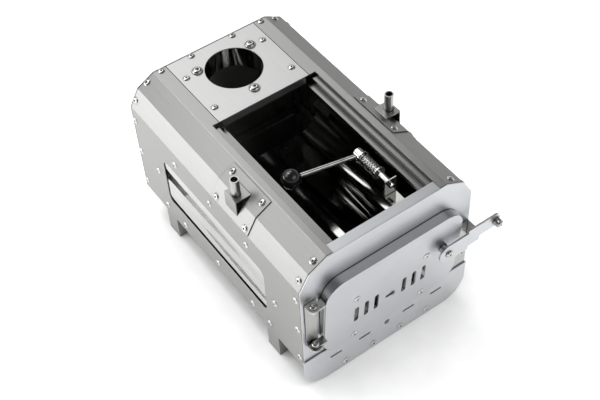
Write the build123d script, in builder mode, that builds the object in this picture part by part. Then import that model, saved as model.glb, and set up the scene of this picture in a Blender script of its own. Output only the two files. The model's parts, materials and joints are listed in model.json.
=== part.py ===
from build123d import *
import os
from math import atan2, cos, pi, radians, sin, tan

os.makedirs("parts", exist_ok=True)

# Camping wood stove in folded stainless sheet. Millimetres, +Z up. The door faces -Y, the flue is
# at +Y, and left and right are as seen from the door. Each piece is drawn about the floor under
# the middle of the casing, and saved about the floor under the middle of the whole outline.

# ---------------------------------------------------------------- driving dimensions
casing_width = 250.0
casing_length = 373.0
casing_height = 190.0            # side wall's lower edge to the top strips
ground_clearance = 46.0          # floor to the side wall's lower edge
sheet = 1.2                      # every folded plate
seam = 0.8                       # open line left between neighbouring plates
nest = 0.1                       # gap between a flange and the wall that it nests in
flange_depth = 14.0              # folded edge of the front and rear panels
floor_flange = 12.0              # folded lower edge of the side walls

lower_facet_in = 14.0            # side wall to the bend between the two facets
upper_facet_in = 39.0            # side wall to the bend at the top strip
upper_facet_drop = 13.5          # top strip down to the bend between the facets
lower_facet_drop = 37.5          # top strip down to the top of the side wall

window_length = 227.0
window_height = 78.0
window_sill = 34.0               # side wall's lower edge to the window
window_front_gap = 76.0          # front of the casing to the window
window_corner = 12.0

strip_width = 9.0                # top strip beside the cooking opening
rear_strip_width = 19.0          # top strip beside the flue plate
flue_plate_length = 127.0
flue_plate_lip = 12.0            # folded front edge of the flue plate
flue_bore_radius = 37.5
flue_from_rear = 58.0            # rear of the casing to the flue centre
collar_depth = 30.0
collar_flange_radius = 55.0
flue_screw_circle = 46.5         # radius of the circle that the flue screws stand on
flue_screw_length = 12.0
flue_screw_head = (7.0, 4.0, 5.0)    # radius, height, width of the hexagon recess
flue_nut_across = 13.0
flue_nut_height = 6.0
strap_edge = 3.0                 # bend of the upper facet in to the flue strap
strap_lap = 13.0                 # flue strap's reach under the flue plate

small_screw_head = (4.75, 2.8, 3.0)  # hinge and latch bolts: radius, height, hexagon recess
small_nut_across = 8.0
hinge_bolt_past = 5.0            # hinge bolt's length beyond its pair of leaves

liner_rim_drop = 50.0            # top strips down to the trough's rim
liner_depth = 130.0              # trough's rim down to its bottom
liner_corner = 36.0              # bend between the trough's sides and its bottom
liner_end_gap = 10.0             # end plate to the window's edge
liner_end_flange = 18.0          # folded edge of the end plate against the side wall
tray_side = 20.0                 # upturned edges of the floor tray

rail_drop = 5.0                  # top strip down to the rail's upper step
rail_step = 7.0                  # height between the rail's two steps
rail_upper_width = 7.0
rail_lower_width = 8.0
rail_lip = 5.0

door_side_gap = 24.0             # side wall in to the door, taken over both sides
door_shift = 3.0                 # door centre, right of the casing's centre
door_bottom = 4.5                # above the side wall's lower edge
door_top_gap = 43.0              # top strips down to the door's top edge
door_corner = 27.0
door_depth_top = 13.5            # the door's face stands this far out at its top
door_depth_bottom = 1.6
door_back_gap = 0.4              # door leaf to the front panel
doorway_margin = 14.0            # door leaf's overlap at the sides and top of the doorway
doorway_sill = 7.0               # side wall's lower edge up to the doorway
doorway_corner = 13.0

apron_overhang = 1.5             # apron past each side wall
apron_drop = 45.0                # side wall's lower edge down to the apron's lower edge
apron_ear_height = 15.0          # side wall's lower edge up to the ears' top edge
apron_corner = 35.0
apron_slot_drop = 8.5            # side wall's lower edge down to the air slots
apron_slots = (34.5, 78.5)       # centre line to the air slots
apron_slot_length = 19.0
apron_slot_width = 3.6
apron_hole_radius = 4.0
apron_rivets = (21.5, 64.5)      # centre line to the rivets
apron_rivet_drop = 36.0
stiffener_height = 10.0
apron_gap = 0.6                  # round the lower edge of the door
ear_lip = 1.0                    # rolled top edge of each ear, standing forward

foot_width = 25.0
foot_sheet = 1.5
foot_front_gap = 60.0            # front of the casing to the front foot
foot_rear_gap = 47.0             # rear of the casing to the rear foot
foot_tab = 22.0                  # part of the foot that is riveted inside the wall

post_from_front = 142.0
post_in = 12.6                   # side wall's outer face in to the post's axis
post_outer_radius = 5.75
post_bore_radius = 4.25
post_height = 25.0
saddle_length = 77.0             # post bracket's base plate, along the stove
shelf_length = 24.0
shelf_width = 24.0
shelf_rise = 8.0                 # bend between the facets up to the shelf
shelf_out = 4.0                  # side wall's outer face in to the shelf's outer face

hinge_axis_in = 12.0             # side wall in to the hinge axis
hinge_axis_out = 8.0             # front panel out to the hinge axis
hinge_nose = 7.8
hinge_door_nose = 5.0
hinge_web = 2.0
hinge_bolt_radius = 2.5
hinge_clearance = 0.05
hinge_low = 47.0                 # side wall's lower edge up to the hinge's lower leaf
hinge_high = 128.0
hinge_leaf = 2.5
hinge_leaf_gap = 0.4

latch_pivot_in = 47.5            # side wall in to the latch's pivot
latch_height = 89.0              # side wall's lower edge up to the latch's pivot
latch_plate = 2.5
latch_half_width = 14.0
latch_front = 20.5               # front panel out to the lever's front face by the pivot
latch_set_back = 3.0             # the lever's outer part lies this much further back
latch_reach = 83.0               # pivot to the lever's outer end
latch_bend = 30.0                # pivot to the bend
latch_wide = 52.0                # pivot to the step in the lever's lower edge
latch_notch = 7.0
latch_step_slope = 2.0           # run of the step in the lever's lower edge
latch_end_corner = 7.0
latch_gap = 0.3
latch_bush_radius = 6.0
latch_bolt_radius = 2.5
latch_clearance = 0.05

latch_nut_height = 4.0
knob_in = 5.5                    # lever's outer end in to the knob
knob_rise = 2.0                  # pivot up to the knob
knob_radius = 5.5
knob_length = 7.0
knob_screw_radius = 2.0
knob_screw_head = 2.2
catch_width = 19.0
catch_in = 1.0                   # side wall in to the catch's outer edge
catch_low = 25.0                 # side wall's lower edge up to the catch
catch_high = 100.0
catch_stop = 26.0                # height of the catch's stop
catch_out = 14.4                 # front panel out to the stop's front edge
catch_rivet_in = 8.5
catch_rivet_height = 41.0        # side wall's lower edge up to the catch's rivet

vent_pitch = 15.0
vent_first = 21.0                # centre line to the innermost upright vent
vent_width = 6.5
vent_height = 30.0
vent_centre = 58.0               # side wall's lower edge up to the vents' middle
vent_rivet_x = 52.0
vent_rivet_high = 92.5           # side wall's lower edge up to the guides' rivets
vent_rivet_low = 13.0
slider_sheet = 1.0
slider_travel = 8.0
slider_clearance = 0.4
slider_peg_radius = 2.4
slider_peg_proud = 3.0
slider_peg_drop = 3.0            # vents' middle down to the peg
slider_edge_gap = 1.5            # slider's edge to a guide's spacer
guide_lip = 1.2
guide_length = 118.0
guide_spacer = 11.0
guide_lap = 8.0

crank_x = 42.5
crank_drop = 14.0                # top strips down to the crank shaft's axis
crank_rod_from_front = 109.0
crank_arm = 89.0
crank_arm_skew = 16.0            # the ball stands this much further back than the shaft's end
crank_arm_rise = 4.0
crank_ball_radius = 12.5
crank_rod_radius = 3.0
crank_shaft_radius = 4.0
crank_clearance = 0.08
crank_bracket_from_front = 50.0
crank_bracket_width = 17.0
crank_bracket_drop = 18.0
crank_bracket_foot = 12.0
crank_plate = 1.5                 # thickness of the crank bracket
hub_radius = 7.0
hub_length = 10.0
washer_thickness = 1.5
spring_wire = 2.2
spring_radius = 6.6
spring_turns = 7
spring_ahead = 23.0              # bracket back to the spring's front washer

rivet_head_radius = 4.75
rivet_head_height = 1.5
rivet_shank_radius = 2.4
rivet_mandrel_radius = 1.5
rivet_tail = 1.6                 # a set rivet's tail behind the plates
flue_screw_radius = 4.0

# ---------------------------------------------------------------- worked-out values
half = casing_width / 2
base_z = ground_clearance
top_z = base_z + casing_height
front_y = -casing_length / 2
rear_y = casing_length / 2
facet_x = half - lower_facet_in
strip_x = half - upper_facet_in
facet_z = top_z - upper_facet_drop
shoulder_z = top_z - lower_facet_drop
inner_half = half - sheet
flue_y = rear_y - flue_from_rear
flue_plate_half = strip_x - rear_strip_width
flue_plate_front = rear_y - flue_plate_length
opening_half = strip_x - strip_width
casing_front = front_y + sheet + seam
casing_rear = rear_y - sheet - seam
window_front = front_y + window_front_gap
window_rear = window_front + window_length
grip = 2 * sheet + nest
flange_in = sheet + nest         # casing's outer face in to a nested flange
liner_half = inner_half - nest
liner_rim_z = top_z - liner_rim_drop
liner_low_z = liner_rim_z - liner_depth
liner_front = window_front - liner_end_gap
liner_rear = window_rear + liner_end_gap
door_width = casing_width - 2 * door_side_gap
door_left = door_shift - door_width / 2
door_low_z = base_z + door_bottom
door_top_z = top_z - door_top_gap
door_height = door_top_z - door_low_z
door_mid_z = (door_low_z + door_top_z) / 2
door_lean = atan2(door_depth_top - door_depth_bottom, door_height)
hinge_x = -half + hinge_axis_in
hinge_y = front_y - hinge_axis_out
latch_x = half - latch_pivot_in
latch_z = base_z + latch_height
latch_y = front_y - latch_front
crank_z = top_z - crank_drop
crank_rod_y = front_y + crank_rod_from_front
crank_bracket_y = front_y + crank_bracket_from_front
post_x = half - post_in
post_y = front_y + post_from_front
shelf_x = half - shelf_out
shelf_z = facet_z + shelf_rise
SIDES = (("left", -1), ("right", 1))

# middle of the whole outline: the lever reaches past the right side, and the knob's screw past the door
outline_right = latch_x + latch_reach
outline_left = -half - apron_overhang
outline_front = latch_y + latch_set_back - knob_length - knob_screw_head
to_origin = Location((-(outline_left + outline_right) / 2, -(outline_front + rear_y) / 2, 0))


# ---------------------------------------------------------------- helpers
def save(piece, name):
    """Move a finished piece to the stove's origin, label it and write it to its own STEP file."""
    placed = piece.part.moved(to_origin)
    placed.label = name
    export_step(placed, f"parts/{name}.step")


def upright(y):
    """Workplane across the stove at y: local x is +X, local y is +Z, and it looks to the front."""
    return Plane(origin=(0, y, 0), x_dir=(1, 0, 0), z_dir=(0, -1, 0))


def sideways(x):
    """Workplane along the stove at x: local x is +Y, local y is +Z, and it looks to +X."""
    return Plane(origin=(x, 0, 0), x_dir=(0, 1, 0), z_dir=(1, 0, 0))


def casing_outline(inset=0.0):
    """The casing's faceted cross-section, moved in all round by inset."""
    with BuildSketch() as outline:
        with BuildLine():
            Polyline((-half, base_z), (-half, shoulder_z), (-facet_x, facet_z), (-strip_x, top_z),
                     (strip_x, top_z), (facet_x, facet_z), (half, shoulder_z), (half, base_z),
                     close=True)
        make_face()
        if inset:
            offset(amount=-inset, kind=Kind.INTERSECTION, mode=Mode.REPLACE)
    return outline.sketch_local


def door_outline(grow=0.0):
    """The door's rounded outline, grown all round."""
    with BuildSketch() as outline:
        with Locations((door_shift, door_mid_z)):
            RectangleRounded(door_width + 2 * grow, door_height + 2 * grow, door_corner + grow)
    return outline.sketch_local


def liner_outline(inset, rim_z):
    """U-shaped section of the trough up to rim_z: upright sides, round corners and a flat bottom."""
    across = liner_half - inset
    low = liner_low_z + inset
    bend = liner_corner - inset
    with BuildSketch() as outline:
        with BuildLine():
            Line((-across, rim_z), (-across, low + bend))
            RadiusArc((-across, low + bend), (bend - across, low), -bend)
            Line((bend - across, low), (across - bend, low))
            RadiusArc((across - bend, low), (across, low + bend), -bend)
            Line((across, low + bend), (across, rim_z))
            Line((across, rim_z), (-across, rim_z))
        make_face()
    return outline.sketch_local


def folded_strip(points, thickness):
    """Section of a plate folded along points, with its thickness on the left of the path."""
    path = [Vector(*point) for point in points]
    ways = [(b - a).normalized() for a, b in zip(path, path[1:])]
    lefts = [Vector(-way.Y, way.X) for way in ways]
    side = [path[0] + lefts[0] * thickness]
    for corner, first, second in zip(path[1:-1], lefts, lefts[1:]):
        middle = (first + second).normalized()
        side.append(corner + middle * (thickness / middle.dot(first)))
    side.append(path[-1] + lefts[-1] * thickness)
    with BuildSketch() as strip:
        with BuildLine():
            Polyline(*path, *reversed(side), close=True)
        make_face()
    return strip.sketch_local


def on_facet(side, low, high, share, y):
    """Place on a sloping side, a share of the way from its low to its high bend, looking out."""
    run = high[0] - low[0]
    rise = high[1] - low[1]
    x = low[0] + share * run
    z = low[1] + share * rise
    return Plane(origin=(side * x, y, z), x_dir=(0, 1, 0), z_dir=(side * rise, 0, -run)).location


def on_wall(side, y, z):
    """Place on a side wall's outer face, looking out."""
    return Plane(origin=(side * half, y, z), x_dir=(0, 1, 0), z_dir=(side, 0, 0)).location


def on_top(x, y):
    """Place on the top plates, looking up."""
    return Plane(origin=(x, y, top_z), x_dir=(1, 0, 0), z_dir=(0, 0, 1)).location


def on_front(x, z, out=0.0):
    """Place on the front panel's outer face, or out mm before it, looking to the front."""
    return Plane(origin=(x, front_y - out, z), x_dir=(1, 0, 0), z_dir=(0, -1, 0)).location


def door_out(z):
    """How far the door's leaning face stands out from the front panel at height z."""
    return door_depth_bottom + (z - door_low_z) * tan(door_lean)


def on_door(x, z):
    """Place on the door's leaning face."""
    return Plane(origin=(x, front_y - door_out(z), z), x_dir=(1, 0, 0),
                 z_dir=(0, -cos(door_lean), -sin(door_lean))).location


def drills(places, radius=rivet_shank_radius, reach=6.0):
    """Round bars through each place, to be taken from the plates there."""
    with BuildPart() as bars:
        with Locations(*places):
            Cylinder(radius, 2 * reach)
    return bars.part


def pop_rivet(hold):
    """Blind rivet on its local origin: domed head above, shank down through hold mm, and a tail."""
    tail_radius = rivet_shank_radius + 1.0
    with BuildPart() as rivet:
        with BuildSketch(Plane.XZ):
            with BuildLine():
                Polyline((0, 0.4), (rivet_mandrel_radius, 0.4), (rivet_mandrel_radius, rivet_head_height))
                ThreePointArc((rivet_mandrel_radius, rivet_head_height),
                              (0.75 * rivet_head_radius, 0.72 * rivet_head_height),
                              (rivet_head_radius, 0.25))
                Polyline((rivet_head_radius, 0.25), (rivet_head_radius, 0), (rivet_shank_radius, 0),
                         (rivet_shank_radius, -hold), (tail_radius, -hold),
                         (tail_radius, -hold - rivet_tail), (0, -hold - rivet_tail), (0, 0.4))
            make_face()
        revolve(axis=Axis.Z)
    return rivet.part


def rivet_group(places, hold=grip):
    """A set of equal rivets as separate solids of one piece."""
    rivet = pop_rivet(hold)
    with BuildPart() as group:
        for place in places:
            add(rivet.moved(place))
    return group


def button_screw(radius, length, head_radius, head_height, key):
    """Button-head screw with a hexagon recess, head above its local origin."""
    with BuildPart() as screw:
        with BuildSketch(Plane.XZ):
            with BuildLine():
                Polyline((0, head_height), (0.45 * head_radius, head_height))
                ThreePointArc((0.45 * head_radius, head_height),
                              (0.83 * head_radius, 0.72 * head_height), (head_radius, 0.2 * head_height))
                Polyline((head_radius, 0.2 * head_height), (head_radius, 0), (radius, 0),
                         (radius, -length), (0, -length), (0, head_height))
            make_face()
        revolve(axis=Axis.Z)
        with BuildSketch(Plane.XY.offset(head_height)):
            RegularPolygon(key / 2, 6, major_radius=False)
        extrude(amount=-0.6 * head_height, mode=Mode.SUBTRACT)
    return screw.part


def hexagon_nut(radius, across, height):
    """Plain nut, its top face on its local origin."""
    with BuildPart() as nut:
        with BuildSketch():
            RegularPolygon(across / 2, 6, major_radius=False)
            Circle(radius, mode=Mode.SUBTRACT)
        extrude(amount=-height)
    return nut.part


# ---------------------------------------------------------------- rivet places
edge_front = 9.5                 # front and rear rivets to the casing's ends
edge_rear = 6.0
lower_rivet = 15.0               # rivets above the side wall's lower edge
middle_rivet = 73.0
upper_rivet = 131.0
tray_rivet = 13.0
side_row_in = 34.0               # window's ends in to the outer rivets of a side row
saddle_rivet_pitch = 61.0
saddle_lower_share = 0.22        # bracket rivets' places up the lower and the upper facet
saddle_upper_share = 0.6
flue_rear_rivet = 31.5           # centre line to the rivets behind the flue
flue_side_rivet = 9.0            # flue plate's side edge in to its rivets
flue_side_steps = (21.0, -44.5)  # flue centre to the side rivets, along the stove
facet_low = (half, shoulder_z)
facet_mid = (facet_x, facet_z)
facet_high = (strip_x, top_z)


def end_places(y):
    """Rivets round one end of the casing, through the end panel's flange."""
    places = []
    for _, side in SIDES:
        for height in (lower_rivet, middle_rivet, upper_rivet):
            places.append(on_wall(side, y, base_z + height))
        places.append(on_facet(side, facet_low, facet_mid, 0.45, y))
        places.append(on_facet(side, facet_mid, facet_high, 0.5, y))
    return places


front_places = end_places(front_y + edge_front)
rear_places = end_places(rear_y - edge_rear)
rear_strip_places = [on_top(side * (strip_x - rear_strip_width / 2), rear_y - edge_rear)
                     for _, side in SIDES]

foot_middles = (front_y + foot_front_gap + foot_width / 2, rear_y - foot_rear_gap - foot_width / 2)
window_middle = (window_front + window_rear) / 2
side_rows = (window_front + side_row_in, window_middle, window_rear - side_row_in)
end_rivet_z = base_z + window_sill + window_height / 2
end_rivet_rows = (liner_front - liner_end_flange / 2 - 1.0, liner_rear + liner_end_flange / 2 + 1.0)

def wall_rows(side, rows, height):
    """A row of rivets along one side wall."""
    return [on_wall(side, y, base_z + height) for y in rows]


def saddle_places(side):
    """Four rivets of one post bracket, two on each facet, on the casing's surface."""
    places = []
    for end in (-1, 1):
        y = post_y + end * saddle_rivet_pitch / 2
        places.append(on_facet(side, facet_low, facet_mid, saddle_lower_share, y))
        places.append(on_facet(side, facet_mid, facet_high, saddle_upper_share, y))
    return places


flue_plate_rear_places = [on_top(side * flue_rear_rivet, rear_y - edge_rear) for _, side in SIDES]
flue_plate_side_places = [on_top(side * (flue_plate_half - flue_side_rivet), flue_y + step)
                          for _, side in SIDES for step in flue_side_steps]
catch_places = [on_front(half - catch_rivet_in, base_z + catch_rivet_height, sheet)]
apron_rivet_places = [on_front(side * x, base_z - apron_rivet_drop, sheet)
                      for _, side in SIDES for x in apron_rivets]
flue_screw_places = [on_top(flue_screw_circle * cos(radians(a)),
                            flue_y + flue_screw_circle * sin(radians(a))) for a in (30, 150, 270)]


# ---------------------------------------------------------------- casing
foot_outer = inner_half - sheet - 2 * nest
foot_hold = 2 * sheet + 2 * nest + foot_sheet


def foot_slits():
    """Blocks where the feet's legs pass the floor, to be taken from the plates there."""
    with BuildPart() as slits:
        for _, side in SIDES:
            for middle in foot_middles:
                with BuildSketch(Plane.XY.offset(base_z - seam)):
                    with Locations((side * (foot_outer + nest - (foot_sheet + seam) / 2), middle)):
                        Rectangle(foot_sheet + nest + seam, foot_width + 2 * seam)
                extrude(amount=2 * sheet + 2 * seam)
    return slits.part


for name, side in SIDES:
    with BuildPart() as casing:
        with BuildSketch(upright(casing_front)):
            add(casing_outline())
            add(casing_outline(sheet), mode=Mode.SUBTRACT)
        extrude(amount=-(casing_rear - casing_front))
        # one half only, with an open floor and an open top between the strips
        with BuildSketch(Plane.XY):
            with Locations((-side * half / 2, 0)):
                Rectangle(half, casing_length)
            Rectangle(2 * (half - floor_flange), casing_length)
        extrude(amount=shoulder_z, mode=Mode.SUBTRACT)
        with BuildSketch(Plane.XY.offset(shoulder_z)):
            with Locations((-side * half / 2, 0)):
                Rectangle(half, casing_length)
            with Locations((0, (casing_front + flue_plate_front) / 2 - seam)):
                Rectangle(2 * opening_half, flue_plate_front - casing_front + 2 * seam)
            with Locations((0, (flue_plate_front + casing_rear) / 2)):
                Rectangle(2 * (flue_plate_half + seam), casing_rear - flue_plate_front + 2 * seam)
        extrude(amount=casing_height, mode=Mode.SUBTRACT)
        # long window in the side wall
        with BuildSketch(sideways(side * half)):
            with Locations((window_middle, base_z + window_sill + window_height / 2)):
                RectangleRounded(window_length, window_height, window_corner)
        extrude(amount=2 * sheet, both=True, mode=Mode.SUBTRACT)
        add(foot_slits(), mode=Mode.SUBTRACT)
        wall_places = (wall_rows(side, side_rows, tray_rivet) + wall_rows(side, foot_middles, tray_rivet)
                       + wall_rows(side, side_rows, upper_rivet)
                       + [on_wall(side, y, end_rivet_z) for y in end_rivet_rows])
        add(drills(front_places + rear_places + rear_strip_places + wall_places + saddle_places(side)),
            mode=Mode.SUBTRACT)
    save(casing, f"{name}_casing")


def end_flange(y, toward_rear):
    """Ring folded from an end panel, nested inside the casing."""
    with BuildPart() as ring:
        with BuildSketch(upright(y)):
            add(casing_outline(flange_in))
            add(casing_outline(flange_in + sheet), mode=Mode.SUBTRACT)
        extrude(amount=-flange_depth * toward_rear)
    return ring.part


with BuildPart() as front_panel:
    with BuildSketch(upright(front_y)):
        add(casing_outline())
    extrude(amount=-sheet)
    add(end_flange(front_y + sheet, 1))
    # the doorway, behind the door leaf
    doorway_low = base_z + doorway_sill
    doorway_high = door_top_z - doorway_margin
    with BuildSketch(upright(front_y)):
        with Locations((door_shift, (doorway_low + doorway_high) / 2)):
            RectangleRounded(door_width - 2 * doorway_margin, doorway_high - doorway_low, doorway_corner)
    extrude(amount=-sheet, mode=Mode.SUBTRACT)
    add(drills(front_places + catch_places), mode=Mode.SUBTRACT)
save(front_panel, "front_panel")

with BuildPart() as rear_panel:
    with BuildSketch(upright(rear_y)):
        add(casing_outline())
    extrude(amount=sheet)
    add(end_flange(rear_y - sheet, -1))
    add(drills(rear_places + rear_strip_places + flue_plate_rear_places), mode=Mode.SUBTRACT)
save(rear_panel, "rear_panel")

# floor tray: lies on the side walls' folded edges, with its own edges turned up inside them
tray_half = inner_half - nest
tray_front = front_y + sheet + flange_depth + seam
tray_rear = rear_y - sheet - flange_depth - seam
tray_z = base_z + sheet + nest
with BuildPart() as floor_tray:
    with BuildSketch(upright(tray_front)):
        add(folded_strip(((-tray_half, tray_z + tray_side), (-tray_half, tray_z),
                          (tray_half, tray_z), (tray_half, tray_z + tray_side)), sheet))
    extrude(amount=-(tray_rear - tray_front))
    add(foot_slits(), mode=Mode.SUBTRACT)
    for _, side in SIDES:
        add(drills(wall_rows(side, side_rows + foot_middles, tray_rivet)), mode=Mode.SUBTRACT)
save(floor_tray, "floor_tray")

# ---------------------------------------------------------------- flue plate
with BuildPart() as flue_plate:
    plate_rear = rear_y - sheet - seam
    with BuildSketch(Plane.XY.offset(top_z)):
        with Locations((0, (flue_plate_front + plate_rear) / 2)):
            Rectangle(2 * flue_plate_half, plate_rear - flue_plate_front)
    extrude(amount=-sheet)
    with BuildSketch(Plane.XY.offset(top_z)):
        with Locations((0, flue_plate_front + sheet / 2)):
            Rectangle(2 * (flue_plate_half - rail_lip), sheet)
    extrude(amount=-flue_plate_lip)
    with Locations((0, flue_y, top_z)):
        Cylinder(flue_bore_radius, 4 * sheet, mode=Mode.SUBTRACT)
    add(drills(flue_plate_rear_places + flue_plate_side_places), mode=Mode.SUBTRACT)
    add(drills(flue_screw_places, flue_screw_radius), mode=Mode.SUBTRACT)
save(flue_plate, "flue_plate")

collar_top = top_z - sheet
strap_rear = rear_y - sheet - flange_depth - seam
with BuildPart() as flue_collar:
    with BuildSketch(Plane.XY.offset(collar_top)):
        with Locations((0, flue_y)):
            Circle(collar_flange_radius)
            Circle(flue_bore_radius, mode=Mode.SUBTRACT)
        # cut straight in front of the rear panel's folded edge
        with Locations((0, strap_rear + flue_from_rear / 2)):
            Rectangle(2 * collar_flange_radius, flue_from_rear, mode=Mode.SUBTRACT)
    extrude(amount=-sheet)
    with BuildSketch(Plane.XY.offset(collar_top)):
        with Locations((0, flue_y)):
            Circle(flue_bore_radius + sheet)
            Circle(flue_bore_radius, mode=Mode.SUBTRACT)
    extrude(amount=-collar_depth)
    add(drills(flue_screw_places, flue_screw_radius), mode=Mode.SUBTRACT)
save(flue_collar, "flue_collar")

flue_screw = button_screw(flue_screw_radius, flue_screw_length, *flue_screw_head)
with BuildPart() as flue_screws:
    for place in flue_screw_places:
        add(flue_screw.moved(place))
save(flue_screws, "flue_screws")

flue_nut = hexagon_nut(flue_screw_radius, flue_nut_across, flue_nut_height)
with BuildPart() as flue_nuts:
    for place in flue_screw_places:
        add(flue_nut.moved(place * Pos(0, 0, -2 * sheet)))
save(flue_nuts, "flue_nuts")

# strips under the joints between the flue plate and the casing's top strips
strap_outer = strip_x - strap_edge
strap_inner = flue_plate_half - strap_lap
for name, side in SIDES:
    with BuildPart() as strap:
        with BuildSketch(Plane.XY.offset(top_z - sheet)):
            strap_middle = (strap_inner + strap_outer) / 2
            with Locations((side * strap_middle, (flue_plate_front + strap_rear) / 2 + sheet)):
                Rectangle(strap_outer - strap_inner, strap_rear - flue_plate_front - 2 * sheet)
            with Locations((0, flue_y)):
                Circle(collar_flange_radius + seam, mode=Mode.SUBTRACT)
        extrude(amount=-sheet)
        add(drills(flue_plate_side_places), mode=Mode.SUBTRACT)
    save(strap, f"{name}_flue_strap")

# ---------------------------------------------------------------- cooking opening's rails
rail_front = front_y + sheet + flange_depth + seam
rail_rear = flue_plate_front - seam
for name, side in SIDES:
    step_1 = opening_half
    step_2 = step_1 - rail_upper_width
    step_3 = step_2 - rail_lower_width
    high = top_z - sheet
    path = ((step_1 + rail_lip, high), (step_1, high), (step_1, top_z - rail_drop),
            (step_2, top_z - rail_drop), (step_2, top_z - rail_drop - rail_step),
            (step_3, top_z - rail_drop - rail_step), (step_3, top_z - rail_drop - rail_step - rail_lip))
    with BuildPart() as rail:
        with BuildSketch(upright(rail_front)):
            add(folded_strip(path, sheet))
        extrude(amount=-(rail_rear - rail_front))
        if side < 0:
            mirror(about=Plane.YZ, mode=Mode.REPLACE)
    save(rail, f"{name}_rail")

# ---------------------------------------------------------------- firebox
with BuildPart() as firebox_trough:
    with BuildSketch(upright(liner_front + sheet)):
        add(liner_outline(0, liner_rim_z))
        add(liner_outline(sheet, liner_rim_z + sheet), mode=Mode.SUBTRACT)
    extrude(amount=-(liner_rear - liner_front - 2 * sheet))
    for _, side in SIDES:
        add(drills(wall_rows(side, side_rows, upper_rivet)), mode=Mode.SUBTRACT)
save(firebox_trough, "firebox_trough")

end_plate_low = tray_z + sheet
end_plate_high = base_z + window_sill + window_height
corner_cut = foot_hold - sheet + rivet_tail + seam
for name, y, outward in (("front", liner_front, -1), ("rear", liner_rear, 1)):
    with BuildPart() as end_plate:
        inner_y = y - sheet if outward > 0 else y
        with BuildSketch(upright(inner_y)):
            with Locations((0, (end_plate_low + end_plate_high) / 2)):
                Rectangle(2 * (inner_half - nest), end_plate_high - end_plate_low)
            # corners cut clear of the tray's upturned edges and of the feet with their rivets
            for _, side in SIDES:
                with Locations((side * inner_half, end_plate_low)):
                    Rectangle(2 * corner_cut, 2 * (foot_tab + seam), mode=Mode.SUBTRACT)
            add(liner_outline(sheet, end_plate_high + sheet), mode=Mode.SUBTRACT)
        extrude(amount=-sheet)
        for _, side in SIDES:
            flange_low = base_z + window_sill
            with BuildSketch(sideways(side * (inner_half - nest))):
                with Locations((y + outward * liner_end_flange / 2, (flange_low + end_plate_high) / 2)):
                    Rectangle(liner_end_flange, end_plate_high - flange_low)
            extrude(amount=-side * sheet)
            add(drills([on_wall(side, row, end_rivet_z) for row in end_rivet_rows]), mode=Mode.SUBTRACT)
    save(end_plate, f"firebox_{name}_plate")

# ---------------------------------------------------------------- apron under the door
apron_half = half + apron_overhang
apron_low = base_z - apron_drop
ear_z = base_z + apron_ear_height
slot_z = base_z - apron_slot_drop
with BuildPart() as front_apron:
    with BuildSketch(upright(front_y)):
        with BuildLine():
            corner_x = apron_half - apron_corner
            corner_z = apron_low + apron_corner
            Line((-apron_half, ear_z), (-apron_half, corner_z))
            RadiusArc((-apron_half, corner_z), (-corner_x, apron_low), -apron_corner)
            Line((-corner_x, apron_low), (corner_x, apron_low))
            RadiusArc((corner_x, apron_low), (apron_half, corner_z), -apron_corner)
            Line((apron_half, corner_z), (apron_half, ear_z))
            Line((apron_half, ear_z), (-apron_half, ear_z))
        make_face()
        # four air slots and a round hole between them
        for x in apron_slots:
            with Locations((-x, slot_z), (x, slot_z)):
                SlotOverall(apron_slot_length, apron_slot_width, mode=Mode.SUBTRACT)
        with Locations((0, slot_z)):
            Circle(apron_hole_radius, mode=Mode.SUBTRACT)
    extrude(amount=sheet)
    # the ears' rolled top edges
    with BuildSketch(upright(front_y)):
        with Locations((0, ear_z - sheet / 2)):
            Rectangle(2 * apron_half, sheet)
    extrude(amount=sheet + ear_lip)
    with BuildSketch(upright(front_y)):
        add(door_outline(apron_gap))
    extrude(amount=2 * sheet + ear_lip, mode=Mode.SUBTRACT)
    add(drills(apron_rivet_places), mode=Mode.SUBTRACT)
save(front_apron, "front_apron")

# strip behind the apron's lower part, below the casing, held by the apron's rivets
with BuildPart() as apron_stiffener:
    with BuildSketch(upright(front_y)):
        with Locations((0, base_z - apron_rivet_drop)):
            Rectangle(2 * (apron_half - apron_corner), stiffener_height)
    extrude(amount=-sheet)
    add(drills(apron_rivet_places), mode=Mode.SUBTRACT)
save(apron_stiffener, "apron_stiffener")

# ---------------------------------------------------------------- feet
for end, middle in zip(("front", "rear"), foot_middles):
    for name, side in SIDES:
        with BuildPart() as foot:
            # leg under the wall, then the inward leg on its front edge, both standing on the floor
            with BuildSketch(Plane.XY):
                with Locations((side * (foot_outer - foot_sheet / 2), middle)):
                    Rectangle(foot_sheet, foot_width)
            extrude(amount=base_z + foot_tab)
            with BuildSketch(Plane.XY):
                leg_y = middle - foot_width / 2 + foot_sheet / 2
                with Locations((side * (foot_outer - foot_width / 2), leg_y)):
                    Rectangle(foot_width, foot_sheet)
            extrude(amount=base_z - seam)
            add(drills([on_wall(side, middle, base_z + tray_rivet)]), mode=Mode.SUBTRACT)
        save(foot, f"{end}_{name}_foot")

# ---------------------------------------------------------------- post brackets
def facet_point(share, low, high):
    """Point a share of the way up one facet of the right-hand side."""
    return (low[0] + share * (high[0] - low[0]), low[1] + share * (high[1] - low[1]))


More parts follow.
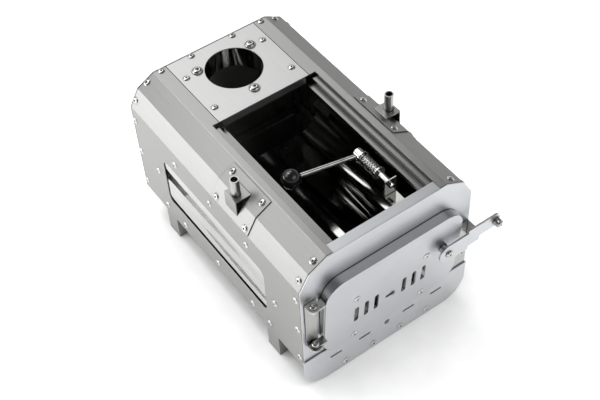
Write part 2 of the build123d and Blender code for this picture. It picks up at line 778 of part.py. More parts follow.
saddle_path = (facet_point(0.9, facet_mid, facet_high), facet_mid, facet_point(0.04, facet_low, facet_mid))
for name, side in SIDES:
    # base plate, folded over both facets
    with BuildPart() as saddle:
        with BuildSketch(upright(post_y - saddle_length / 2)):
            add(folded_strip(saddle_path, sheet))
        extrude(amount=-saddle_length)
        if side < 0:
            mirror(about=Plane.YZ, mode=Mode.REPLACE)
        add(drills(saddle_places(side)), mode=Mode.SUBTRACT)
    save(saddle, f"{name}_post_saddle")

    # shelf: a level plate folded down to the saddle, open at both ends
    with BuildPart() as shelf:
        with BuildSketch(upright(post_y - shelf_length / 2)):
            with BuildLine():
                Polyline((shelf_x - shelf_width, shelf_z), (shelf_x, shelf_z),
                         (shelf_x, shoulder_z - shelf_width),
                         (shelf_x - shelf_width, shoulder_z - shelf_width), close=True)
            make_face()
            with BuildLine():
                Polyline((shelf_x - shelf_width - sheet, shelf_z - sheet), (shelf_x - sheet, shelf_z - sheet),
                         (shelf_x - sheet, shoulder_z - shelf_width - sheet),
                         (shelf_x - shelf_width - sheet, shoulder_z - shelf_width - sheet), close=True)
            make_face(mode=Mode.SUBTRACT)
            add(casing_outline(-sheet), mode=Mode.SUBTRACT)
        extrude(amount=-shelf_length)
        with Locations((post_x, post_y, shelf_z)):
            Cylinder(post_bore_radius, 4 * sheet, mode=Mode.SUBTRACT)
        if side < 0:
            mirror(about=Plane.YZ, mode=Mode.REPLACE)
    save(shelf, f"{name}_post_shelf")

    with BuildPart() as post:
        with BuildSketch(Plane.XY.offset(shelf_z)):
            with Locations((side * post_x, post_y)):
                Circle(post_outer_radius)
                Circle(post_bore_radius, mode=Mode.SUBTRACT)
        extrude(amount=post_height)
    save(post, f"{name}_post")

# ---------------------------------------------------------------- hinge
hinge_low_z = base_z + hinge_low
hinge_high_z = base_z + hinge_high
pair = 2 * hinge_leaf + hinge_leaf_gap       # one body leaf and one door leaf
with BuildPart() as hinge_bracket:
    with BuildSketch(upright(front_y)):
        with Locations((hinge_x, (hinge_low_z + hinge_high_z) / 2)):
            Rectangle(2 * hinge_nose, hinge_high_z - hinge_low_z)
    extrude(amount=hinge_web)
    # leaf at each end, with a round nose about the hinge bolt
    for z in (hinge_low_z, hinge_high_z - hinge_leaf):
        with BuildSketch(Plane.XY.offset(z)):
            with Locations((hinge_x, (front_y + hinge_y) / 2)):
                Rectangle(2 * hinge_nose, front_y - hinge_y)
            with Locations((hinge_x, hinge_y)):
                Circle(hinge_nose)
                Circle(hinge_bolt_radius, mode=Mode.SUBTRACT)
        extrude(amount=hinge_leaf)
save(hinge_bracket, "hinge_bracket")

hinge_bolt = button_screw(hinge_bolt_radius, pair + hinge_bolt_past, *small_screw_head)
hinge_nut = hexagon_nut(hinge_bolt_radius, small_nut_across, latch_nut_height)
hinge_tops = (hinge_high_z, hinge_low_z + pair + hinge_leaf_gap)
with BuildPart() as hinge_bolts:
    for z in hinge_tops:
        add(hinge_bolt.moved(Location((hinge_x, hinge_y, z))))
save(hinge_bolts, "hinge_bolts")
with BuildPart() as hinge_nuts:
    for z in (hinge_high_z - pair - hinge_leaf_gap, hinge_low_z):
        add(hinge_nut.moved(Location((hinge_x, hinge_y, z))))
save(hinge_nuts, "hinge_nuts")

# ---------------------------------------------------------------- door
door_face = Plane(on_door(0, door_low_z))


def door_block(inset, face_inset):
    """Solid wedge inside the door's outline, from the panel to the leaning face."""
    with BuildPart() as block:
        with BuildSketch(upright(front_y - door_back_gap)):
            add(door_outline(-inset))
        extrude(amount=2 * door_depth_top)
        split(bisect_by=door_face.offset(-face_inset), keep=Keep.BOTTOM)
    return block.part


vent_z = base_z + vent_centre
vent_xs = [side * (vent_first + step * vent_pitch) for _, side in SIDES for step in range(3)]
guide_places = {"upper": [on_door(x, base_z + vent_rivet_high) for x in (-vent_rivet_x, vent_rivet_x)],
                "lower": [on_door(x, base_z + vent_rivet_low) for x in (-vent_rivet_x, vent_rivet_x)]}
door_hinge_z = (hinge_low_z + hinge_leaf + hinge_leaf_gap, hinge_high_z - pair)
with BuildPart() as door_leaf:
    add(door_block(0, 0))
    add(door_block(sheet, sheet), mode=Mode.SUBTRACT)
    with BuildSketch(upright(front_y)):
        for x in vent_xs:
            with Locations((x, vent_z)):
                SlotOverall(vent_height, vent_width, rotation=90)
        with Locations((0, vent_z - slider_peg_drop)):
            SlotOverall(slider_travel + 2 * (slider_peg_radius + slider_clearance),
                        2 * (slider_peg_radius + slider_clearance))
    extrude(amount=2 * door_depth_top, mode=Mode.SUBTRACT)
    add(drills(guide_places["upper"] + guide_places["lower"]), mode=Mode.SUBTRACT)
    add(drills([on_door(latch_x, latch_z)], latch_bolt_radius), mode=Mode.SUBTRACT)
save(door_leaf, "door_leaf")

# hinge bracket on the door's left edge: a web with a leaf inside each of the body's leaves
web_low, web_high = door_hinge_z
web_in = 1.0
with BuildPart() as door_hinge_bracket:
    with BuildSketch(sideways(door_left)):
        with BuildLine():
            web_top = web_high + hinge_leaf
            Polyline((front_y - web_in, web_low), (front_y - door_out(web_low) + web_in / 2, web_low),
                     (front_y - door_out(web_top) + web_in / 2, web_top),
                     (front_y - web_in, web_top), close=True)
        make_face()
    extrude(amount=-hinge_web)
    for z in (web_low, web_high):
        with BuildSketch(Plane.XY.offset(z)):
            with Locations(((hinge_x + door_left - hinge_web) / 2 + hinge_web / 4, hinge_y)):
                Rectangle(door_left - hinge_web / 2 - hinge_x, 2 * hinge_door_nose)
            with Locations((hinge_x, hinge_y)):
                Circle(hinge_door_nose)
                Circle(hinge_bolt_radius + hinge_clearance, mode=Mode.SUBTRACT)
        extrude(amount=hinge_leaf)
save(door_hinge_bracket, "door_hinge_bracket")

# guides that hold the air slider behind the door's face
slider_gap = slider_sheet + 2 * slider_clearance
door_back = door_face.offset(-sheet)
for name, height, toward in (("upper", vent_rivet_high, -1), ("lower", vent_rivet_low, 1)):
    up_face = (height - door_bottom) / cos(door_lean)
    with BuildPart() as guide:
        # spacer on the door's back, then a lip that laps over the slider
        with BuildSketch(door_back):
            with Locations((0, up_face)):
                Rectangle(guide_length, guide_spacer)
        extrude(amount=-slider_gap)
        with BuildSketch(door_back.offset(-slider_gap)):
            with Locations((0, up_face + toward * guide_lap / 2)):
                Rectangle(guide_length, guide_spacer + guide_lap)
        extrude(amount=-guide_lip)
        add(drills(guide_places[name]), mode=Mode.SUBTRACT)
    save(guide, f"{name}_slider_guide")

slider_middle = ((vent_rivet_low + vent_rivet_high) / 2 - door_bottom) / cos(door_lean)
slider_height = vent_rivet_high - vent_rivet_low - guide_spacer - 2 * slider_edge_gap
with BuildPart() as air_slider:
    with BuildSketch(door_face.offset(-sheet - slider_clearance)):
        with Locations((0, slider_middle)):
            Rectangle(guide_length - guide_spacer, slider_height)
        for x in vent_xs:
            with Locations((x, (vent_centre - door_bottom) / cos(door_lean))):
                SlotOverall(vent_height - 2.0, vent_width, rotation=90, mode=Mode.SUBTRACT)
    extrude(amount=-slider_sheet)
save(air_slider, "air_slider")

peg_plane = Plane(on_door(slider_travel / 2, vent_z - slider_peg_drop))
with BuildPart() as slider_peg:
    with BuildSketch(peg_plane.offset(-sheet - slider_clearance)):
        Circle(slider_peg_radius)
    extrude(amount=sheet + slider_clearance + slider_peg_proud)
    fillet(slider_peg.faces().sort_by(Axis.Y)[0].edges(), slider_peg_radius / 3)
save(slider_peg, "slider_peg")

# ---------------------------------------------------------------- latch
lever_outer_y = latch_y + latch_set_back
lever_end = latch_x + latch_reach
lever_top = latch_z + latch_half_width
lever_low = latch_z - latch_half_width
knob_x = lever_end - knob_in
knob_z = latch_z + knob_rise
with BuildPart() as latch_lever:
    # plan view: flat by the pivot, then set back towards the panel
    with BuildSketch(Plane.XY.offset(latch_z - latch_half_width)):
        add(folded_strip(((latch_x - latch_half_width, latch_y), (latch_x + latch_bend, latch_y),
                          (latch_x + latch_bend + latch_set_back, lever_outer_y),
                          (lever_end, lever_outer_y)), latch_plate))
    extrude(amount=2 * latch_half_width)
    # front view: round by the pivot, and narrower from below towards the knob
    with BuildSketch(upright(latch_y - latch_plate)):
        with BuildLine():
            Line((latch_x, lever_top), (lever_end - latch_end_corner, lever_top))
            RadiusArc((lever_end - latch_end_corner, lever_top),
                      (lever_end, lever_top - latch_end_corner), latch_end_corner)
            Polyline((lever_end, lever_top - latch_end_corner), (lever_end, lever_low + latch_notch),
                     (latch_x + latch_wide, lever_low + latch_notch),
                     (latch_x + latch_wide - latch_step_slope, lever_low), (latch_x, lever_low))
            RadiusArc((latch_x, lever_low), (latch_x, lever_top), latch_half_width)
        make_face()
    extrude(amount=-4 * latch_plate - latch_set_back, mode=Mode.INTERSECT)
    with Locations(on_front(latch_x, latch_z, latch_front)):
        Cylinder(latch_bolt_radius + latch_clearance, 4 * latch_plate, mode=Mode.SUBTRACT)
    with Locations(on_front(knob_x, knob_z, latch_front)):
        Cylinder(knob_screw_radius, 8 * latch_plate, mode=Mode.SUBTRACT)
save(latch_lever, "latch_lever")

with BuildPart() as latch_bolt:
    add(button_screw(latch_bolt_radius, latch_front + 1.0, *small_screw_head).moved(
        on_front(latch_x, latch_z, latch_front + latch_gap)))
save(latch_bolt, "latch_bolt")

# bush from the door's leaning face to the lever, and the nut behind the face
with BuildPart() as latch_bush:
    with BuildSketch(upright(latch_y + latch_plate + latch_gap)):
        with Locations((latch_x, latch_z)):
            Circle(latch_bush_radius)
            Circle(latch_bolt_radius, mode=Mode.SUBTRACT)
    extrude(amount=-latch_front)
    split(bisect_by=door_face, keep=Keep.TOP)
save(latch_bush, "latch_bush")

with BuildPart() as latch_nut:
    with BuildSketch(Plane(on_door(latch_x, latch_z)).offset(-sheet)):
        RegularPolygon(small_nut_across / 2, 6, major_radius=False)
    extrude(amount=-latch_nut_height)
    with Locations(on_front(latch_x, latch_z)):
        Cylinder(latch_bolt_radius, 4 * latch_front, mode=Mode.SUBTRACT)
save(latch_nut, "latch_nut")

with BuildPart() as latch_knob:
    with BuildSketch(upright(lever_outer_y)):
        with Locations((knob_x, knob_z)):
            Circle(knob_radius)
            Circle(knob_screw_radius, mode=Mode.SUBTRACT)
    extrude(amount=knob_length)
save(latch_knob, "latch_knob")

with BuildPart() as knob_screw:
    add(button_screw(knob_screw_radius, knob_length + latch_plate + 1.5, 3.8, knob_screw_head, 2.5).moved(
        on_front(knob_x, knob_z, latch_front - latch_set_back + knob_length)))
save(knob_screw, "knob_screw")

# catch: plate on the front panel, its outer edge folded forward as a stop behind the lever
catch_right = half - catch_in
with BuildPart() as latch_catch:
    with BuildSketch(upright(front_y)):
        with Locations((catch_right - catch_width / 2, base_z + (catch_low + catch_high) / 2)):
            Rectangle(catch_width, catch_high - catch_low)
    extrude(amount=sheet)
    with BuildSketch(sideways(catch_right)):
        with Locations((front_y - catch_out / 2, base_z + catch_high - catch_stop / 2)):
            Rectangle(catch_out, catch_stop)
    extrude(amount=-sheet)
    add(drills(catch_places), mode=Mode.SUBTRACT)
save(latch_catch, "latch_catch")

# ---------------------------------------------------------------- crank in the cooking opening
with BuildPart() as crank_bracket:
    low = crank_z - crank_bracket_drop
    with BuildSketch(sideways(crank_x - crank_bracket_width / 2)):
        add(folded_strip(((front_y + sheet, low + crank_bracket_foot), (front_y + sheet, low),
                          (crank_bracket_y + crank_plate, low),
                          (crank_bracket_y + crank_plate, crank_z + crank_bracket_width / 2)), crank_plate))
    extrude(amount=crank_bracket_width)
    with Locations(Plane(origin=(crank_x, crank_bracket_y, crank_z), z_dir=(0, 1, 0)).location):
        Cylinder(crank_shaft_radius + crank_clearance, 4 * crank_plate, mode=Mode.SUBTRACT)
save(crank_bracket, "crank_bracket")

shaft_front = crank_bracket_y - 5.0
shaft_rear = crank_rod_y + 6.0
with BuildPart() as crank_shaft:
    with BuildSketch(upright(shaft_rear)):
        with Locations((crank_x, crank_z)):
            Circle(crank_shaft_radius)
    extrude(amount=shaft_rear - shaft_front)
save(crank_shaft, "crank_shaft")

# rod and ball, square to the shaft in front view and set back towards the flue
arm_way = Vector(-crank_arm, crank_arm_skew, crank_arm_rise)
rod_gap = 1.0                    # shaft to the rod's end, inside the hub
arm_start = Vector(crank_x, crank_rod_y, crank_z) + arm_way.normalized() * (crank_shaft_radius + rod_gap)
ball_centre = Vector(crank_x, crank_rod_y, crank_z) + arm_way
with BuildPart() as crank_rod:
    with BuildSketch(Plane(origin=arm_start, z_dir=arm_way)):
        Circle(crank_rod_radius)
    extrude(amount=arm_way.length - crank_shaft_radius - rod_gap - crank_ball_radius / 2)
save(crank_rod, "crank_rod")

with BuildPart() as crank_ball:
    with Locations(Location(ball_centre)):
        Sphere(crank_ball_radius)
    add(crank_rod.part, mode=Mode.SUBTRACT)
save(crank_ball, "crank_ball")

with BuildPart() as crank_hub:
    with BuildSketch(upright(crank_rod_y + hub_length / 2)):
        with Locations((crank_x, crank_z)):
            Circle(hub_radius)
            Circle(crank_shaft_radius, mode=Mode.SUBTRACT)
    extrude(amount=hub_length)
    add(crank_rod.part, mode=Mode.SUBTRACT)
save(crank_hub, "crank_hub")

spring_front = crank_bracket_y + spring_ahead
spring_rear = crank_rod_y - hub_length / 2 - washer_thickness
with BuildPart() as crank_washers:
    for y in (spring_rear, spring_front - washer_thickness):
        with BuildSketch(upright(y)):
            with Locations((crank_x, crank_z)):
                Circle(spring_radius + spring_wire)
                Circle(crank_shaft_radius, mode=Mode.SUBTRACT)
        extrude(amount=-washer_thickness)
save(crank_washers, "crank_washers")

with BuildPart() as crank_spring:
    length = spring_rear - spring_front - spring_wire
    coil_start = (crank_x, spring_front + spring_wire / 2, crank_z)
    with BuildLine() as coil:
        Helix(length / spring_turns, length, spring_radius, center=coil_start, direction=(0, 1, 0))
    with BuildSketch(Plane(origin=coil.wires()[0] @ 0, z_dir=coil.wires()[0] % 0)):
        Circle(spring_wire / 2)
    sweep(path=coil.wires()[0])
save(crank_spring, "crank_spring")

# ---------------------------------------------------------------- rivets
wall_places = []
foot_places = []
strap_hold = 2 * sheet
saddle_rivet_places = []
for _, side in SIDES:
    wall_places += wall_rows(side, side_rows, tray_rivet) + wall_rows(side, side_rows, upper_rivet)
    wall_places += [on_wall(side, y, end_rivet_z) for y in end_rivet_rows]
    foot_places += wall_rows(side, foot_middles, tray_rivet)
    saddle_rivet_places += [place * Pos(0, 0, sheet) for place in saddle_places(side)]

save(rivet_group(front_places), "front_rivets")
save(rivet_group(rear_places + rear_strip_places + flue_plate_rear_places), "rear_rivets")
save(rivet_group(wall_places), "wall_rivets")
save(rivet_group(foot_places, foot_hold), "foot_rivets")
save(rivet_group(saddle_rivet_places, 2 * sheet), "saddle_rivets")
save(rivet_group(flue_plate_side_places, strap_hold), "flue_plate_rivets")
save(rivet_group(guide_places["upper"] + guide_places["lower"], sheet + slider_gap + guide_lip),
     "door_rivets")
save(rivet_group(apron_rivet_places, 2 * sheet), "apron_rivets")
save(rivet_group(catch_places, 2 * sheet), "catch_rivet")
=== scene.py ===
import json
from math import cos, pi, radians, sin

import bmesh
import bpy
import numpy as np
from mathutils import Matrix, Vector


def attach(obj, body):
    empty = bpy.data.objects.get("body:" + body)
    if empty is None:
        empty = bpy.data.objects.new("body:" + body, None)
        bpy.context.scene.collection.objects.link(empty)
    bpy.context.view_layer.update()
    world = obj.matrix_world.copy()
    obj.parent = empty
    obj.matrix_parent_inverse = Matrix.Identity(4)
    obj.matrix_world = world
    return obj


# Camping wood stove in folded stainless sheet. The imported model gives every piece its place; this
# script gives the pieces their finishes and adds the broken rivet stems, black as painted shade in their
# recesses.
MM = 0.001
GRAIN_RUN = 40.0                 # a grain line's length over its width
PAINTED_SHADE_REACH = 2.2 * MM           # how far from a corner painted shade reaches
STEM_RADIUS = 1.45 * MM          # broken stem in a rivet: at its foot, at its tip, and its length
STEM_TIP_RADIUS = 1.35 * MM
STEM_LENGTH = 0.55 * MM
STEM_RISE = 1.0 * MM             # rim of a rivet's head out to the middle of its stem
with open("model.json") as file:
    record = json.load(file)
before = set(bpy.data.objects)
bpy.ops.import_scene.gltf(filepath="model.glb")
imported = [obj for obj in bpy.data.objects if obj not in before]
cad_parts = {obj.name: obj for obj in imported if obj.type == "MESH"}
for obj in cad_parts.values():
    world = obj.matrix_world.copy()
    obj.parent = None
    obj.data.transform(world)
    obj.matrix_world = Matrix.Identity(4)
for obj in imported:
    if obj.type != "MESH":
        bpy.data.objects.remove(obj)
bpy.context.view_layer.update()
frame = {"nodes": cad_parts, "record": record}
nodes = frame["nodes"]


# ---------------------------------------------------------------- colours and node helpers
def linear(hex_colour):
    """An sRGB hex colour as a linear RGBA tuple."""
    parts = [int(hex_colour[i:i + 2], 16) / 255 for i in (1, 3, 5)]
    return tuple(c / 12.92 if c <= 0.04045 else ((c + 0.055) / 1.055) ** 2.4 for c in parts) + (1.0,)


def add_node(tree, kind, settings=None, links=None):
    """A node with its settings (attributes or input sockets) and its input links."""
    node = tree.nodes.new(kind)
    for name, value in (settings or {}).items():
        if hasattr(node, name) and name not in node.inputs:
            setattr(node, name, value)
        else:
            node.inputs[name].default_value = value
    for name, socket in (links or {}).items():
        tree.links.new(socket, node.inputs[name])
    return node


def new_material(name):
    """An empty node material with its tree, its shader and its object coordinates."""
    material = bpy.data.materials.new(name)
    material.use_nodes = True
    tree = material.node_tree
    shader = tree.nodes["Principled BSDF"]
    place = tree.nodes.new("ShaderNodeTexCoord").outputs["Object"]
    return material, tree, shader, place


def ramp_between(tree, factor, low, high, start=0.3, end=0.7):
    """A colour ramp from low to high over the stretch start to end of a factor."""
    ramp = add_node(tree, "ShaderNodeValToRGB", links={"Fac": factor})
    ramp.color_ramp.elements[0].position = start
    ramp.color_ramp.elements[0].color = low
    ramp.color_ramp.elements[1].position = end
    ramp.color_ramp.elements[1].color = high
    return ramp.outputs["Color"]


def grey(value):
    """A neutral grey as a linear RGBA tuple."""
    return (value, value, value, 1.0)


def noise(tree, place, scale, **settings):
    """A noise pattern's factor; scale is in features per metre, and settings are its other inputs."""
    settings["Scale"] = scale
    return add_node(tree, "ShaderNodeTexNoise", settings, {"Vector": place}).outputs["Fac"]


def stretched(tree, place, scale):
    """Coordinates scaled by a different amount along each axis."""
    return add_node(tree, "ShaderNodeMapping", {"Scale": scale}, {"Vector": place}).outputs["Vector"]


# ---------------------------------------------------------------- finishes
def stainless_sheet(name, shades, roughnesses, grain_mm, edge_mm, along="Y", grain_depth=0.05,
                    wave_depth_mm=0.0):
    """Cold-rolled 304 stainless: grain along the rolling direction, faint clouding from handling, and
    softly rounded cut and folded edges that catch a bright line. Waves, where there are any, run along
    the sheet and break its reflections into long streaks."""
    material, tree, shader, place = new_material(name)
    shader.inputs["Metallic"].default_value = 1.0
    # grain drawn a few times coarser than the real 0.1 mm polishing lines, so that it shows
    across = 1.0 / (grain_mm * MM)
    length = across / GRAIN_RUN
    scale = {"X": (length, across, across), "Y": (across, length, across)}[along]
    grain = noise(tree, stretched(tree, place, scale), 1.0, Detail=4.0, Roughness=0.6)
    clouds = noise(tree, place, 22.0, Detail=5.0, Roughness=0.62)
    blotch = add_node(tree, "ShaderNodeMix", {"Factor": 0.45}, {"A": grain, "B": clouds}).outputs["Result"]
    dark, light = (linear(shade) for shade in shades)
    colour = ramp_between(tree, blotch, dark, light)
    # painted shade: colour darkened by ambient occlusion in seams and round rivet heads
    openness = add_node(tree, "ShaderNodeAmbientOcclusion",
                        {"samples": 6, "Distance": PAINTED_SHADE_REACH}).outputs["AO"]
    painted_crevice_shade = ramp_between(tree, openness, grey(0.12), grey(1.0), 0.45, 0.92)
    colour = add_node(tree, "ShaderNodeVectorMath", {"operation": "SCALE"},
                      {"Vector": colour, "Scale": painted_crevice_shade}).outputs["Vector"]
    tree.links.new(colour, shader.inputs["Base Color"])
    smooth, rough = (grey(value) for value in roughnesses)
    tree.links.new(ramp_between(tree, blotch, smooth, rough), shader.inputs["Roughness"])
    edges = add_node(tree, "ShaderNodeBevel", {"samples": 4, "Radius": edge_mm * MM}).outputs["Normal"]
    normal = add_node(tree, "ShaderNodeBump", {"Strength": grain_depth, "Distance": 0.05 * MM},
                      {"Height": grain, "Normal": edges}).outputs["Normal"]
    if wave_depth_mm:
        # one wave in about 60 mm of width, and ten times as long
        waves = noise(tree, stretched(tree, place, (17.0, 1.7, 17.0)), 1.0, Detail=1.0, Roughness=0.35)
        normal = add_node(tree, "ShaderNodeBump", {"Strength": 1.0, "Distance": wave_depth_mm * MM},
                          {"Height": waves, "Normal": normal}).outputs["Normal"]
    tree.links.new(normal, shader.inputs["Normal"])
    return material


def turned_steel(name, shade, rough, mark_mm=0.8):
    """Machined or drawn stainless: bright, with fine rings and small dents that break its highlights."""
    material, tree, shader, place = new_material(name)
    shader.inputs["Metallic"].default_value = 1.0
    marks = noise(tree, place, 1.0 / (mark_mm * MM), Detail=3.0)
    wear = noise(tree, place, 140.0, Detail=4.0)
    colour = ramp_between(tree, wear, linear("#a9a9a6"), linear(shade))
    tree.links.new(colour, shader.inputs["Base Color"])
    roughness = ramp_between(tree, marks, grey(rough * 0.7), grey(rough * 1.4))
    tree.links.new(roughness, shader.inputs["Roughness"])
    edges = add_node(tree, "ShaderNodeBevel", {"samples": 4, "Radius": 0.25 * MM}).outputs["Normal"]
    bump = add_node(tree, "ShaderNodeBump", {"Strength": 0.08, "Distance": 0.03 * MM},
                    {"Height": marks, "Normal": edges})
    tree.links.new(bump.outputs["Normal"], shader.inputs["Normal"])
    return material


def moulded_phenolic(name):
    """Compression-moulded phenolic ball: deep black gloss with a trace of orange peel and dust."""
    material, tree, shader, place = new_material(name)
    shader.inputs["IOR"].default_value = 1.55
    shader.inputs["Coat Weight"].default_value = 0.3
    shader.inputs["Coat Roughness"].default_value = 0.04
    dust = noise(tree, place, 420.0, Detail=6.0)
    colour = ramp_between(tree, dust, linear("#080808"), linear("#161616"))
    tree.links.new(colour, shader.inputs["Base Color"])
    tree.links.new(ramp_between(tree, dust, grey(0.1), grey(0.2)), shader.inputs["Roughness"])
    peel = noise(tree, place, 260.0, Detail=2.0)
    bump = add_node(tree, "ShaderNodeBump", {"Strength": 0.04, "Distance": 0.1 * MM}, {"Height": peel})
    tree.links.new(bump.outputs["Normal"], shader.inputs["Normal"])
    return material


def painted_shade_stem_finish(name):
    """Broken steel stem inside a blind rivet: rough, torn and near black as painted recess shade, so the
    rivet shows a black centre.
    """
    material, tree, shader, place = new_material(name)
    shader.inputs["Metallic"].default_value = 0.4
    torn = noise(tree, place, 1900.0, Detail=4.0)
    # painted shade: the near-black colour stands in for the shade in each rivet's recess
    colour = ramp_between(tree, torn, linear("#050505"), linear("#1c1b1a"))
    tree.links.new(colour, shader.inputs["Base Color"])
    tree.links.new(ramp_between(tree, torn, grey(0.5), grey(0.75)), shader.inputs["Roughness"])
    bump = add_node(tree, "ShaderNodeBump", {"Strength": 0.5, "Distance": 0.2 * MM}, {"Height": torn})
    tree.links.new(bump.outputs["Normal"], shader.inputs["Normal"])
    return material


# Shades and roughnesses run from the darker, smoother patches to the lighter, rougher ones.
# casing, feet and panels: flat grey satin that blurs the floor and the sky into even tones, painted darker
# than the front as painted shade on the side walls
satin_casing = stainless_sheet("satin_stainless_casing", ("#8e8e8d", "#989896"), (0.30, 0.38), 1.6, 0.7)
# front: the same steel painted lighter and cooler as painted light on the front, with its grain across the
# stove
satin_front = stainless_sheet("satin_stainless_front", ("#bfc1c4", "#cbcdcf"), (0.34, 0.42), 1.6, 0.7,
                              along="X")
# flue plate: the same steel painted a touch lighter than the casing as painted light on its upward face,
# so that it reads as its own sheet
satin_top = stainless_sheet("satin_stainless_top", ("#a8a8a7", "#b4b4b4"), (0.30, 0.38), 1.6, 0.6)
# stepped rails: darker and tighter, so that the steps show as fine lines
satin_rail = stainless_sheet("satin_stainless_rail", ("#747473", "#80807e"), (0.20, 0.26), 1.2, 0.5)
# side brackets and latch: thicker plate with a finer grain
satin_bracket = stainless_sheet("satin_stainless_bracket", ("#a8a8a6", "#b8b8b6"), (0.26, 0.34), 1.2, 0.5)
# inner plates: near mirrors, black where they see the stove's dark inside
mirror_liner = stainless_sheet("mill_polished_liner", ("#989895", "#a6a6a3"), (0.06, 0.12), 2.4, 0.5,
                               grain_depth=0.1)
# trough: the same mirror, waved by hand rolling, with long white and black streaks
rolled_liner = stainless_sheet("hand_rolled_liner", ("#b2b2af", "#c2c2bf"), (0.05, 0.10), 2.4, 0.5,
                               grain_depth=0.1, wave_depth_mm=26.0)
# small bright parts: domes with a soft highlight, screws with a tight one, and a polished rod
rivet_dome = turned_steel("pressed_stainless_rivet", "#d8d8d6", 0.22)
bright_screw = turned_steel("bright_stainless_screw", "#d0d0ce", 0.16)
drawn_rod = turned_steel("drawn_stainless_rod", "#d2d2d0", 0.10)
# black parts: a glossy ball, and dull stems painted black as the shade that dots the rivets
ball_black = moulded_phenolic("moulded_phenolic_ball")
painted_shade_black = painted_shade_stem_finish("painted_shade_rivet_stem")

by_slot = {"satin_plate": satin_casing, "polished_liner": mirror_liner, "rivet_steel": rivet_dome,
           "fastener_steel": bright_screw, "bracket_steel": satin_bracket, "polished_rod": drawn_rod,
           "black_knob": ball_black}
by_node = {"front_panel": satin_front, "door_leaf": satin_front, "front_apron": satin_front,
           "latch_lever": satin_front, "flue_plate": satin_top, "crank_bracket": mirror_liner,
           "left_rail": satin_rail, "right_rail": satin_rail, "firebox_trough": rolled_liner,
           "firebox_rear_plate": rolled_liner}
slot_of = {entry["node"]: entry["material_slot"] for entry in frame["record"]["subparts"]}
for name, node in nodes.items():
    finish = by_node.get(name, by_slot[slot_of[name]])
    for slot in node.material_slots:
        slot.material = finish
    if not node.material_slots:
        node.data.materials.append(finish)


# ---------------------------------------------------------------- pieces
def finish_piece(mesh, name, body, material):
    """Turn a bmesh into a named object that rides on a body and takes a finish."""
    bmesh.ops.recalc_face_normals(mesh, faces=mesh.faces)
    data = bpy.data.meshes.new(name)
    mesh.to_mesh(data)
    mesh.free()
    piece = bpy.data.objects.new(name, data)
    bpy.context.scene.collection.objects.link(piece)
    data.materials.append(material)
    for face in data.polygons:
        face.use_smooth = True
    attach(piece, body)
    return piece


def islands(node):
    """The separate solids of a CAD node, each as a list of its points."""
    copy = bmesh.new()
    copy.from_mesh(nodes[node].data)
    bmesh.ops.remove_doubles(copy, verts=copy.verts, dist=1e-6)
    found = []
    seen = set()
    for start in copy.verts:
        if start in seen:
            continue
        seen.add(start)
        reach = [start]
        for vert in reach:
            for edge in vert.link_edges:
                other = edge.other_vert(vert)
                if other not in seen:
                    seen.add(other)
                    reach.append(other)
        found.append([vert.co.copy() for vert in reach])
    copy.free()
    return found


def rivet_seat(points):
    """A rivet's outward axis and the middle of its head's rim, from the points of its solid."""
    cloud = np.array([tuple(point) for point in points])
    middle = cloud.mean(axis=0)
    spread, ways = np.linalg.eigh(np.cov((cloud - middle).T))
    lonely = 0 if spread[1] - spread[0] > spread[2] - spread[1] else 2
    axis = ways[:, lonely]
    heights = (cloud - middle) @ axis
    radii = np.linalg.norm(cloud - middle - np.outer(heights, axis), axis=1)
    rim = cloud[radii > radii.max() - 0.1 * MM]
    seat = rim.mean(axis=0)
    tail = cloud.mean(axis=0) + axis * ((heights.max() + heights.min()) / 2)
    outward = axis if (seat - tail) @ axis > 0 else -axis
    return Vector(outward), Vector(seat)


def painted_shade_stems(node, body):
    """The broken stems inside a node's rivets, seated in the recess in the middle of each head; their
    black is painted shade.
    """
    stems = bmesh.new()
    for points in islands(node):
        outward, seat = rivet_seat(points)
        turn = outward.to_track_quat("Z", "Y").to_matrix().to_4x4()
        place = Matrix.Translation(seat + outward * STEM_RISE) @ turn
        bmesh.ops.create_cone(stems, cap_ends=True, segments=20, radius1=STEM_RADIUS,
                              radius2=STEM_TIP_RADIUS, depth=STEM_LENGTH, matrix=place)
    return finish_piece(stems, f"{node}_mandrels", body, painted_shade_black)


for node in ("front_rivets", "rear_rivets", "wall_rivets", "foot_rivets", "saddle_rivets",
             "flue_plate_rivets", "apron_rivets", "catch_rivet"):
    painted_shade_stems(node, "casing")
painted_shade_stems("door_rivets", "door")


# ---------------------------------------------------------------- floor, light and camera
def stage_floor():
    """Wide pale matt floor that runs out of view."""
    mesh = bmesh.new()
    bmesh.ops.create_grid(mesh, x_segments=1, y_segments=1, size=12.0)
    data = bpy.data.meshes.new("studio_floor")
    mesh.to_mesh(data)
    mesh.free()
    floor = bpy.data.objects.new("studio_floor", data)
    bpy.context.scene.collection.objects.link(floor)
    material, tree, shader, place = new_material("matt_white_floor")
    paper = noise(tree, place, 30.0)
    colour = ramp_between(tree, paper, linear("#f1f1f1"), linear("#f6f6f6"))
    tree.links.new(colour, shader.inputs["Base Color"])
    shader.inputs["Roughness"].default_value = 0.9
    data.materials.append(material)


def area_light(name, place, target, width, height, radiance, in_reflections=True):
    """Soft rectangular light that faces its target; radiance is how bright its own face looks."""
    light = bpy.data.lights.new(name, "AREA")
    light.shape = "RECTANGLE"
    light.size = width
    light.size_y = height
    light.energy = radiance * pi * width * height
    lamp = bpy.data.objects.new(name, light)
    lamp.location = place
    lamp.rotation_mode = "QUATERNION"
    lamp.rotation_quaternion = (Vector(target) - Vector(place)).to_track_quat("-Z", "Y")
    lamp.visible_glossy = in_reflections
    bpy.context.scene.collection.objects.link(lamp)


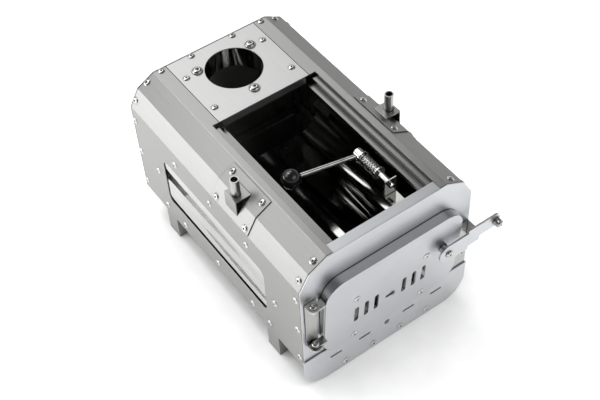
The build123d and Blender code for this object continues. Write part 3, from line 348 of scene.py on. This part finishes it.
def soft_sky():
    """Dim studio room, bright near the floor and dark overhead; a view of it is plain pale grey."""
    world = bpy.data.worlds.new("studio")
    bpy.context.scene.world = world
    world.use_nodes = True
    tree = world.node_tree
    way = tree.nodes.new("ShaderNodeTexCoord").outputs["Generated"]
    height = add_node(tree, "ShaderNodeSeparateXYZ", links={"Vector": way}).outputs["Z"]
    room = ramp_between(tree, height, grey(0.85), grey(0.10), 0.0, 0.45)
    seen = tree.nodes.new("ShaderNodeLightPath").outputs["Is Camera Ray"]
    shade = tree.nodes.new("ShaderNodeMix")
    shade.data_type = "RGBA"
    # a colour mix: socket 0 is its factor, 6 and 7 are its colours and output 2 is the mixed colour
    shade.inputs[7].default_value = grey(0.9)
    tree.links.new(seen, shade.inputs[0])
    tree.links.new(room, shade.inputs[6])
    tree.links.new(shade.outputs[2], tree.nodes["Background"].inputs["Color"])
    tree.nodes["Background"].inputs["Strength"].default_value = 1.0


def studio_camera():
    """Camera high at the front left, turned and rolled as the stove is seen."""
    azimuth, elevation, roll = radians(-32.77), radians(49.57), radians(-3.69)
    back = Vector((sin(azimuth) * cos(elevation), -cos(azimuth) * cos(elevation), sin(elevation)))
    level = Vector((0, 0, 1)).cross(back).normalized()
    upright = back.cross(level)
    right = level * cos(roll) + upright * sin(roll)
    up = upright * cos(roll) - level * sin(roll)
    view = Matrix((right, up, back)).transposed().to_4x4()
    data = bpy.data.cameras.new("studio_camera")
    data.lens = 69.68
    data.sensor_width = 36.0
    data.clip_end = 100.0
    camera = bpy.data.objects.new("studio_camera", data)
    camera.matrix_world = Matrix.Translation(camera_place) @ view
    bpy.context.scene.collection.objects.link(camera)
    bpy.context.scene.camera = camera


camera_place = Vector((-0.5436, -0.81035, 1.2441))
stage_floor()
soft_sky()
stove = (0, 0, 0.15)
area_light("rear_softbox", (-0.4, 1.9, 2.5), stove, 4.6, 1.7, 2.0)
area_light("side_softbox", (-2.6, 1.7, 0.5), stove, 2.2, 1.0, 4.5)
area_light("roof_strip", (-0.25, 1.35, 2.3), stove, 0.35, 1.3, 7.0)
area_light("front_softbox", (0.8, -1.9, 2.3), stove, 2.2, 1.4, 1.3)
area_light("floor_fill", (0, 0, 4.0), stove, 5.0, 5.0, 3.0, in_reflections=False)
studio_camera()
bpy.context.scene.view_settings.view_transform = "Standard"
